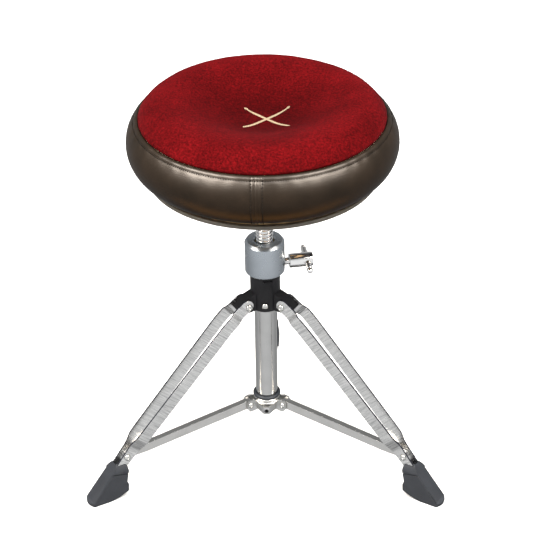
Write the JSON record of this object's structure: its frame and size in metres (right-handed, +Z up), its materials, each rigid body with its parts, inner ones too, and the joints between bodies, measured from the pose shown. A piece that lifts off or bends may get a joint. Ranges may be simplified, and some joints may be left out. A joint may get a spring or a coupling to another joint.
{
  "type": "drum throne",
  "caption": "Drum throne with a round dished cushion on a screw spindle, a T-bolt collar lock and a folding double-strip tripod with rubber feet.",
  "frame": {"origin": "on the floor, under the middle of the whole object's footprint", "axes": "+Z up, -Y towards the front between the two front legs, +X to the right seen from the front; the third leg points along +Y"},
  "size_m": [0.4596, 0.4276, 0.5109],
  "materials": {
    "suede": "short-pile red suede cloth with a mottled nap",
    "vinyl": "dark brown-black vinyl with a fine grain, semi-gloss",
    "foam": "open-cell upholstery foam",
    "plywood": "birch plywood",
    "trim_plastic": "bronze-grey moulded edge trim, slight sheen",
    "cover_cloth": "thin black non-woven cloth",
    "black_steel": "black coated steel",
    "zinc_plate": "bright zinc plate",
    "chrome": "bright nickel-chrome with fine rolling marks",
    "satin_chrome": "satin chrome with fine scratches",
    "bright_steel": "bright plated folded steel",
    "zinc_casting": "plated die casting with a soft sheen",
    "black_plastic": "black glass-filled nylon, fine spark texture",
    "nylon": "natural nylon",
    "brass": "machined brass",
    "ring_rubber": "black rubber",
    "foot_rubber": "slate-grey moulded rubber, matt"
  },
  "bodies": {
    "column": {"collar_housing": "satin_chrome", "threaded_bush": "brass", "column_tube": "chrome", "tube_end_plug": "black_plastic", "hub": "black_plastic", "hub_screw_left": "zinc_plate", "hub_screw_right": "zinc_plate", "hub_screw_rear": "zinc_plate", "leg_pin_left": "zinc_plate", "leg_pin_right": "zinc_plate", "leg_pin_rear": "zinc_plate"},
    "guide": {"spindle_guide": "nylon"},
    "seat": {"seat_top_panel": "suede", "seat_side_band": "vinyl", "seat_foam": "foam", "seat_board": "plywood", "seat_edge_trim": "trim_plastic", "seat_dust_cover": "cover_cloth", "seat_bracket": "black_steel", "bracket_clamp_bolt": "zinc_plate", "bracket_bolt_1": "zinc_plate", "bracket_bolt_2": "zinc_plate", "bracket_bolt_3": "zinc_plate", "bracket_bolt_4": "zinc_plate", "bracket_t_nut_1": "zinc_plate", "bracket_t_nut_2": "zinc_plate", "bracket_t_nut_3": "zinc_plate", "bracket_t_nut_4": "zinc_plate", "spindle": "chrome", "guide_screw": "zinc_plate"},
    "lock_tip": {"lock_plug": "brass"},
    "t_handle": {"t_bolt": "chrome", "t_bar": "chrome"},
    "lower_collar": {"lower_casting": "zinc_casting", "set_screw": "black_steel", "rubber_ring": "ring_rubber", "brace_pin_left": "zinc_plate", "brace_pin_right": "zinc_plate", "brace_pin_rear": "zinc_plate"},
    "leg_left": {"leg_strip_a_left": "chrome", "leg_strip_b_left": "chrome", "leg_rivet_a_left": "zinc_plate", "leg_rivet_b_left": "zinc_plate", "foot_left": "foot_rubber"},
    "brace_arm_left": {"brace_left": "bright_steel"},
    "leg_right": {"leg_strip_a_right": "chrome", "leg_strip_b_right": "chrome", "leg_rivet_a_right": "zinc_plate", "leg_rivet_b_right": "zinc_plate", "foot_right": "foot_rubber"},
    "brace_arm_right": {"brace_right": "bright_steel"},
    "leg_rear": {"leg_strip_a_rear": "chrome", "leg_strip_b_rear": "chrome", "leg_rivet_a_rear": "zinc_plate", "leg_rivet_b_rear": "zinc_plate", "foot_rear": "foot_rubber"},
    "brace_arm_rear": {"brace_rear": "bright_steel"}
  },
  "joints": [
    {"name": "seat_lift", "type": "slide", "parent": "column", "child": "guide", "axis": [0, 0, 1], "range_m": [-0.043, 0.11]},
    {"name": "seat_turn", "type": "hinge", "parent": "guide", "child": "seat", "pos_m": [0, -0.04875, 0.4], "axis": [0, 0, 1], "range_deg": [-3096, 7920]},
    {"name": "lock_travel", "type": "slide", "parent": "column", "child": "lock_tip", "axis": [0.9816, 0.1908, 0], "range_m": [0, 0.003]},
    {"name": "lock_turn", "type": "hinge", "parent": "lock_tip", "child": "t_handle", "pos_m": [0.04908, -0.03921, 0.2807], "axis": [0.9816, 0.1908, 0], "range_deg": [0, 720.2]},
    {"name": "collar_slide", "type": "slide", "parent": "column", "child": "lower_collar", "axis": [0, 0, 1], "range_m": [0, 0.08694]},
    {"name": "leg_fold_left", "type": "hinge", "parent": "column", "child": "leg_left", "pos_m": [-0.02494, -0.06315, 0.2283], "axis": [0.5, -0.866, 0], "range_deg": [0, 38.09]},
    {"name": "brace_fold_left", "type": "hinge", "parent": "lower_collar", "child": "brace_arm_left", "pos_m": [-0.0239, -0.06255, 0.0731], "axis": [0.5, -0.866, 0], "range_deg": [0, 73.5]},
    {"name": "leg_fold_right", "type": "hinge", "parent": "column", "child": "leg_right", "pos_m": [0.02494, -0.06315, 0.2283], "axis": [0.5, 0.866, 0], "range_deg": [0, 38.08]},
    {"name": "brace_fold_right", "type": "hinge", "parent": "lower_collar", "child": "brace_arm_right", "pos_m": [0.0239, -0.06255, 0.0731], "axis": [0.5, 0.866, 0], "range_deg": [0, 73.5]},
    {"name": "leg_fold_rear", "type": "hinge", "parent": "column", "child": "leg_rear", "pos_m": [0, -0.01995, 0.2283], "axis": [-1, 0, 0], "range_deg": [0, 38.09]},
    {"name": "brace_fold_rear", "type": "hinge", "parent": "lower_collar", "child": "brace_arm_rear", "pos_m": [0, -0.02115, 0.0731], "axis": [-1, 0, 0], "range_deg": [0, 73.5]}
  ],
  "couplings": [
    {"joint": "seat_lift", "follows": "seat_turn", "m_per_rad": 0.00079577},
    {"joint": "lock_turn", "follows": "lock_travel", "rad_per_m": 4188.8},
    {"joint": "collar_slide", "follows": "leg_fold_right", "m_per_rad": 0.1308},
    {"joint": "leg_fold_left", "follows": "leg_fold_right", "ratio": 1},
    {"joint": "brace_fold_left", "follows": "leg_fold_right", "ratio": 1.9295},
    {"joint": "brace_fold_right", "follows": "leg_fold_right", "ratio": 1.9295},
    {"joint": "leg_fold_rear", "follows": "leg_fold_right", "ratio": 1},
    {"joint": "brace_fold_rear", "follows": "leg_fold_right", "ratio": 1.9295}
  ]
}
